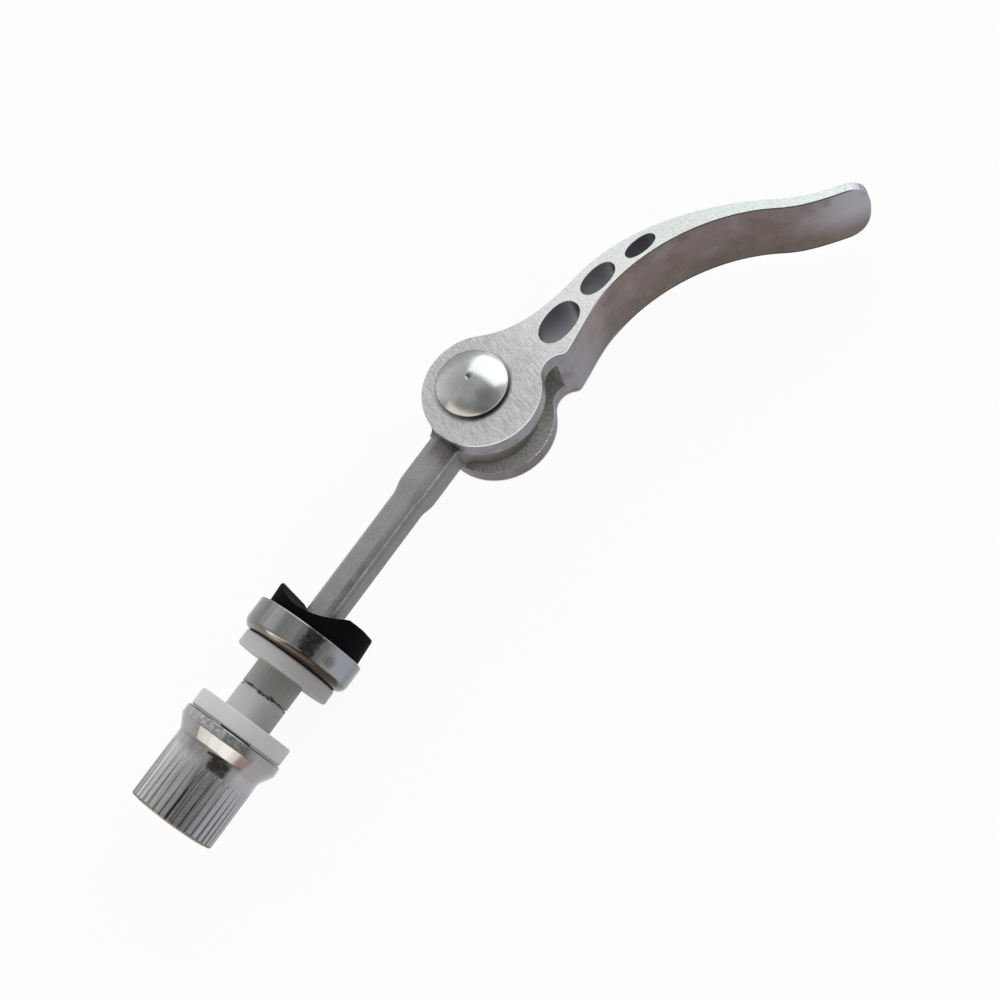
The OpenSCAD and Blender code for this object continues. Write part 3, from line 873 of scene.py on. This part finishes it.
def skewer_material():
    """Forged and plated steel: painted shade on one flank and on the eye, a painted dark reflection and
    highlight along the ridge that faces up, and dirt with painted shadow where it enters the fork.
    """
    s = Shader("skewer_steel", Metallic=1.0)
    x, ridge = s.mm("X"), s.bearing()
    cloud = s.grain(0.5, detail=5)
    fine = s.grain(3.0, detail=5, rough=0.65)
    on_shank = s.span(x, PIN_X - 5, PIN_X - 9)
    shade = s.mix(cloud, (0.36, 0.36, 0.365), (0.48, 0.48, 0.485))
    shade = s.paint(shade, (0.28, 0.28, 0.27), s.span(fine, 0.45, 0.62), 0.5)
    # Painted shade on the flank that faces -Y
    flank_shade = s.mix(cloud, (0.16, 0.16, 0.17), (0.235, 0.235, 0.25))
    shade = s.paint(shade, flank_shade, s.band(ridge, 47, 133, 3), on_shank)
    shade = s.paint(shade, (0.12, 0.12, 0.12), s.band(ridge, 57, 62, 4), on_shank, 0.35)
    # A brownish painted dark reflection runs beside a painted highlight on the crest, and fades towards the
    # fork
    ridge_dark_reflection = s.both(s.band(ridge, 26, 36, 9), s.span(cloud, 0.3, 0.65, 0.35, 1))
    shade = s.paint(shade, (0.14, 0.13, 0.105), ridge_dark_reflection, s.span(x, 12, 34, 0.75, 0.3), on_shank)
    crest_highlight = s.both(s.band(ridge, 43, 47.5, 1.5), on_shank)
    shade = s.paint(shade, (0.70, 0.70, 0.68), crest_highlight, s.span(cloud, 0.35, 0.65, 0.15, 0.55))
    # Brown dirt and painted shadow where the shank enters the fork, then painted shade on the eye between
    # the ears
    root = s.both(s.span(x, PIN_X - 13.5, PIN_X - 10), s.band(ridge, -20, 44, 10))
    shade = s.paint(shade, (0.14, 0.10, 0.065), root, s.span(cloud, 0.3, 0.6, 0.1, 0.6))
    shade = s.paint(shade, (0.17, 0.155, 0.145), s.span(x, PIN_X - 9.2, PIN_X - 8.2), 0.75)
    s.set(Base_Color=shade, Roughness=s.span(fine, 0.25, 0.75, 0.34, 0.5))
    s.set(Normal=s.bump(fine, 0.45, 0.05))
    return s.material


def turned_steel(name, dark, light, rough):
    """A plated turning with faint streaks along its axis; gives the shader and its shade to add to."""
    s = Shader(name, Metallic=1.0)
    along_axis = s.streaks(SKEWER_AXIS, ACROSS_SKEWER, 7, 0.06)
    fine = s.grain(4.0)
    s.set(Roughness=s.span(fine, 0.25, 0.75, rough, rough + 0.12), Normal=s.bump(fine, 0.08, 0.03))
    return s, s.mix(s.span(along_axis, 0.32, 0.68), dark, light)


def cup_material():
    """Painted reflections in light, dark and bluish stretches round the cup, a mottled painted dark
    reflection, a dark spot, and painted shade on the brown lower edge with one painted highlight line.
    """
    s, shade = turned_steel("cup_steel", (0.28, 0.28, 0.28), (0.37, 0.37, 0.365), 0.15)
    bearing = s.bearing()
    height = s.math("SUBTRACT", s.mm("X"), CUP_X)
    mottle = s.grain(1.6, detail=5, rough=0.7)
    # Painted reflections round the cup: dark towards +Y, a light band, and a bluish stretch towards -Y that
    # painted shade darkens in its middle
    shade = s.paint(shade, (0.17, 0.17, 0.18), s.band(bearing, -80, -28, 8), 0.7)
    shade = s.paint(shade, (0.47, 0.47, 0.47), s.band(bearing, -15, -8, 6))
    shade = s.paint(shade, (0.27, 0.29, 0.325), s.band(bearing, 64, 110, 12), 0.8)
    shade = s.paint(shade, (0.15, 0.165, 0.19), s.span(bearing, 78, 92), 0.7)
    # A mottled painted dark reflection, and a small dark spot
    dark_reflection = s.math("ADD", s.band(bearing, 27, 35, 10), s.span(mottle, 0.3, 0.7, 0, 0.8))
    shade = s.paint(shade, (0.07, 0.066, 0.06), s.span(dark_reflection, 0.55, 1.5))
    spot = s.math("ADD", s.distance(CUP_SPOT), mottle)
    shade = s.paint(shade, (0.06, 0.06, 0.065), s.span(spot, 0.9, 2.0, 0.6, 0))
    # Painted shade, brownish, along the cup's rounded lower edge
    lower_edge_shade = s.mix(s.span(bearing, -35, -12), (0.21, 0.18, 0.15), (0.15, 0.125, 0.105))
    lower_edge_shade = s.paint(lower_edge_shade, (0.115, 0.095, 0.085), s.span(bearing, 20, 40))
    shade = s.paint(shade, lower_edge_shade, s.span(height, 1.5, 0.9), 0.8)
    # The painted highlight line and the painted shadow under the edge both climb on their way round
    climbing = s.math("SUBTRACT", height, s.span(bearing, -8, 36, 0, 0.55, smooth=False))
    glint = s.both(s.band(climbing, 0.85, 0.95, 0.12), s.band(bearing, -8, 24, 7))
    shade = s.paint(shade, (0.75, 0.68, 0.58), glint, 0.9)
    under = s.span(s.math("SUBTRACT", height, s.band(bearing, 18, 75, 20)), 0.45, 0.1)
    thick = s.span(s.math("ABSOLUTE", bearing), 5, 35, 0.75, 0.93)
    s.set(Base_Color=s.paint(shade, (0.05, 0.035, 0.027), under, thick))
    return s.material


def nut_material():
    """A bright collar with scuffs, painted reflections round it, a warm neck, and a dull grip lightened
    with painted highlight, with dark lines in its grooves.
    """
    s, shade = turned_steel("nut_chrome", (0.37, 0.365, 0.36), (0.46, 0.455, 0.445), 0.13)
    bearing = s.bearing()
    down = s.math("SUBTRACT", NUT_X, s.mm("X"))
    aside = s.math("ABSOLUTE", bearing)
    mottle = s.grain(1.5, detail=5, rough=0.7)
    lines = s.streaks(SKEWER_AXIS, ACROSS_SKEWER, 22, 0.08, detail=2)
    # Painted lavender reflection towards -Y and painted dark reflection towards +Y
    shade = s.paint(shade, (0.35, 0.34, 0.385), s.band(bearing, 58, 120, 14), 0.7)
    shade = s.paint(shade, (0.33, 0.33, 0.325), s.band(bearing, -120, -42, 14), 0.6)
    dull = s.span(down, 4.65, 6.35)
    # The grip is lightened with painted highlight over the top towards +Y
    grip = s.mix(s.span(lines, 0.3, 0.7), (0.52, 0.51, 0.49), (0.80, 0.79, 0.76))
    shade = s.paint(shade, grip, dull, s.band(bearing, -34, 4, 12), 0.85)
    shade = s.paint(shade, (0.16, 0.14, 0.12), dull, s.span(lines, 0.55, 0.68, 0, 0.3))
    # Scuffs on the collar, with light and dark flecks and painted highlight, and painted shade on the
    # collar's sides
    on_collar = s.span(down, 1.75, 1.25)
    scuffs_and_highlight = s.mix(s.span(mottle, 0.42, 0.6), (0.42, 0.415, 0.41), (0.84, 0.86, 0.835))
    shade = s.paint(shade, scuffs_and_highlight, on_collar, s.band(bearing, -14, 36, 12), 0.75)
    shade = s.paint(shade, (0.22, 0.215, 0.215), on_collar, s.span(aside, 32, 46), 0.5)
    # A dark line that climbs on its way round, and a mottled painted dark reflection below the neck
    climbing = s.math("ADD", down, s.span(bearing, 11, 53, 0, 0.7, smooth=False))
    line = s.both(s.band(climbing, 4.05, 4.35, 0.12), s.band(bearing, 14, 54, 4))
    shade = s.paint(shade, (0.05, 0.028, 0.018), line, 0.9)
    dark_reflection = s.both(s.band(down, 4.35, 5.75, 0.9), s.band(bearing, 24, 42, 8))
    dark_reflection = s.math("ADD", dark_reflection, s.span(mottle, 0.3, 0.7, 0, 0.6))
    shade = s.paint(shade, (0.10, 0.095, 0.09), s.span(dark_reflection, 0.45, 1.4))
    # Painted shade darkens the neck's bright stretch towards both ends, giving way to a warm tint at one
    from_middle = s.math("ABSOLUTE", s.math("SUBTRACT", bearing, 21))
    neck_end_shade = s.both(s.band(down, 1.75, 3.95, 0.3), s.span(from_middle, 6, 22))
    shade = s.paint(shade, (0.26, 0.25, 0.245), neck_end_shade, 0.5)
    tint = s.both(s.band(down, 1.65, 3.65, 0.4), s.band(bearing, 46, 56, 5))
    shade = s.paint(shade, (0.22, 0.14, 0.10), tint, 0.6)
    # Dark lines in the grooves over the top towards -Y, painted shadow at the mouth where the nut meets the
    # bushing, and a darker rim at the far end
    grooves = s.both(s.span(down, 6.05, 7.25), s.band(bearing, 4, 36, 14))
    shade = s.paint(shade, (0.07, 0.062, 0.052), grooves, s.span(lines, 0.5, 0.6, 0, 0.7))
    shade = s.paint(shade, (0.05, 0.045, 0.04), s.span(down, 0.35, 0.15, 0, 0.9))
    corner = s.both(s.span(down, NUT_LEN - 0.85, NUT_LEN - 0.65),
                    s.span(s.distance(SKEWER_AXIS, ACROSS_SKEWER), 5.9, 6.6))
    shade = s.paint(shade, (0.13, 0.105, 0.09), corner, 0.85)
    rough = s.span(mottle, 0.3, 0.7, 0.13, 0.22)
    s.set(Base_Color=shade, Roughness=s.math("ADD", rough, s.both(dull, 0.2)))
    return s.material


def nylon_material():
    """Natural nylon with painted shade towards -Y, and a painted shadow that darkens the upper bushing's
    collar most.
    """
    s = Shader("bushing_nylon", Metallic=0.0)
    x = s.mm("X")
    sideways = s.both(s.axis(s.outward(SKEWER_AXIS, ACROSS_SKEWER), "Y"), -1)
    cloud = s.grain(0.4)
    fine = s.grain(3.0, detail=3)
    along_axis = s.streaks(SKEWER_AXIS, ACROSS_SKEWER, 6, 0.05)
    # Painted shade darkens each part towards -Y, and painted shadow darkens the upper collar
    shade_towards_minus_y = s.span(sideways, 0.1, 1.0)
    lower_flange = s.mix(shade_towards_minus_y, (0.67, 0.67, 0.665), (0.52, 0.525, 0.52))
    lower_collar = s.mix(shade_towards_minus_y, (0.64, 0.655, 0.64), (0.36, 0.36, 0.36))
    upper_collar = s.mix(s.span(sideways, -0.6, 0.6), (0.43, 0.425, 0.41), (0.27, 0.262, 0.25))
    upper_collar = s.paint(upper_collar, (0.20, 0.195, 0.185), s.span(along_axis, 0.4, 0.7, 0, 0.3))
    upper_flange = s.mix(s.span(sideways, -0.2, 1.0), (0.52, 0.52, 0.515), (0.33, 0.325, 0.315))
    seam = (LOWER_SEAT_X + LOWER_COLLAR_LEN - UPPER_COLLAR_LEN) / 2
    color = s.mix(s.span(x, LOWER_SEAT_X - 0.05, LOWER_SEAT_X + 0.05), lower_flange, lower_collar)
    color = s.mix(s.span(x, seam - 0.03, seam + 0.03), color, upper_collar)
    color = s.mix(s.span(x, -0.05, 0.05), color, upper_flange)
    # Painted shadow sits in the ragged seam between the two collars
    seam_shadow = s.band(x, seam - 0.25, seam + 0.15, 0.1)
    color = s.paint(color, (0.12, 0.11, 0.10), seam_shadow, s.span(fine, 0.48, 0.6))
    color = s.paint(color, (0.30, 0.30, 0.29), cloud, 0.12)
    s.set(Base_Color=color, Roughness=s.span(fine, 0.3, 0.7, 0.44, 0.56), Normal=s.bump(fine, 0.1, 0.03))
    return s.material


def saddle_material():
    s = Shader("saddle_plastic", Metallic=0.0, Specular_IOR_Level=0.02)
    fine = s.grain(2.5)
    color = s.mix(fine, (0.003, 0.003, 0.0035), (0.006, 0.006, 0.007))
    s.set(Base_Color=color, Roughness=s.span(fine, 0.3, 0.7, 0.6, 0.75), Normal=s.bump(fine, 0.2, 0.05))
    return s.material


# Pieces

nylon = nylon_material()
lever = finish_piece(make_lever(), lever_material(), "cam_lever", "lever", 30)
mark_zones(lever)
finish_piece(make_pin(), pin_material(), "cam_lever", "pivot_pin")
finish_piece(make_skewer(), skewer_material(), "skewer_bar", "skewer", 35)
finish_piece(make_saddle(), saddle_material(), "cam_seat", "saddle_washer", 30)
finish_piece(make_cup(), cup_material(), "cam_seat", "cup_washer")
upper_bushing = make_bushing("upper_bushing_body", 0, 1, UPPER_FLANGE_T, UPPER_COLLAR_LEN)
finish_piece(upper_bushing, nylon, "cup_bushing", "upper_bushing")
lower_bushing = make_bushing("lower_bushing_body", LOWER_SEAT_X, -1, LOWER_FLANGE_T, LOWER_COLLAR_LEN)
finish_piece(lower_bushing, nylon, "nut_bushing", "lower_bushing")
finish_piece(make_nut(), nut_material(), "thimble_nut", "nut", 25)


# Floor, light and camera

FLOOR_REACH = 900
# How much of the floor's colour is plain white where it is seen directly or in metal
FLOOR_WHITE = 0.93
LAMP_DISTANCE = 0.5


def make_floor():
    """A white table that the lowest point of the part rests on."""
    z = cad_low.z / MM
    corners = [(-FLOOR_REACH, -FLOOR_REACH, z), (FLOOR_REACH, -FLOOR_REACH, z),
               (FLOOR_REACH, FLOOR_REACH, z), (-FLOOR_REACH, FLOOR_REACH, z)]
    floor = new_piece("floor", corners, [(0, 1, 2, 3)])
    s = Shader("floor_card", Base_Color=(0.93, 0.93, 0.93), Roughness=0.8)
    rays = s.node("LightPath").outputs
    seen = s.math("MAXIMUM", rays["Is Camera Ray"], rays["Is Glossy Ray"])
    seen = s.math("MAXIMUM", seen, rays["Is Transmission Ray"])
    white = s.node("Emission", {"Color": (1, 1, 1), "Strength": 1.0}).outputs[0]
    mixed = s.node("MixShader", {0: s.both(seen, FLOOR_WHITE), 1: s.bsdf.outputs[0], 2: white})
    s.put(s.tree.nodes["Material Output"].inputs["Surface"], mixed.outputs[0])
    floor.data.materials.append(s.material)


def make_lamp(name, direction, size, radiance, color):
    """A soft rectangular lamp of a given brightness, turned to the part's middle."""
    middle = (cad_low + cad_high) / 2
    lamp = bpy.data.lights.new(name, "AREA")
    lamp.shape = "RECTANGLE"
    lamp.size, lamp.size_y = size
    lamp.energy = radiance * math.pi * size[0] * size[1]
    lamp.color = color
    holder = bpy.data.objects.new(name, lamp)
    away = Vector(direction).normalized()
    holder.location = middle + away * LAMP_DISTANCE
    holder.rotation_euler = away.to_track_quat("Z", "Y").to_euler()
    bpy.context.scene.collection.objects.link(holder)


def make_world():
    """A pale room that is darker overhead, with a soft dark place where a photographer would lean over."""
    world = bpy.data.worlds.new("room")
    bpy.context.scene.world = world
    world.use_nodes = True
    s = Nodes(world.node_tree)
    direction = s.node("TexCoord").outputs["Generated"]
    leaning = s.node("VectorMath", {0: direction, 1: (-0.06, -0.667, 0.743)}, operation="DOT_PRODUCT")
    shadow = s.span(leaning.outputs["Value"], 0.72, 0.97, 1.0, 0.45)
    overhead = s.span(s.axis(direction, "Z"), 0.0, 0.95, 0.85, 0.52)
    background = s.tree.nodes["Background"].inputs
    s.put(background["Color"], (0.985, 0.985, 1.0))
    s.put(background["Strength"], s.both(overhead, shadow))


def make_camera():
    """The photograph's view, found by fitting the part's edges."""
    forward = Vector((0.20011, 0.39485, -0.89669))
    right = Vector((0.58062, -0.78498, -0.21608))
    up = right.cross(forward)
    data = bpy.data.cameras.new("camera")
    data.sensor_width = 36
    data.lens = 61.0
    camera = bpy.data.objects.new("camera", data)
    axes = Matrix((right, up, -forward)).transposed()
    camera.matrix_world = Matrix.Translation(Vector((-11.17, -112.91, 229.05)) * MM) @ axes.to_4x4()
    bpy.context.scene.collection.objects.link(camera)
    bpy.context.scene.camera = camera


make_floor()
make_lamp("window", (0.854, 0.075, 0.515), (0.70, 0.56), 1.3, (0.94, 1.0, 0.98))
make_lamp("low_window", (-0.92, -0.02, 0.37), (0.80, 0.26), 1.3, (1.0, 0.94, 0.84))
make_world()
make_camera()
bpy.context.scene.view_settings.view_transform = "Standard"
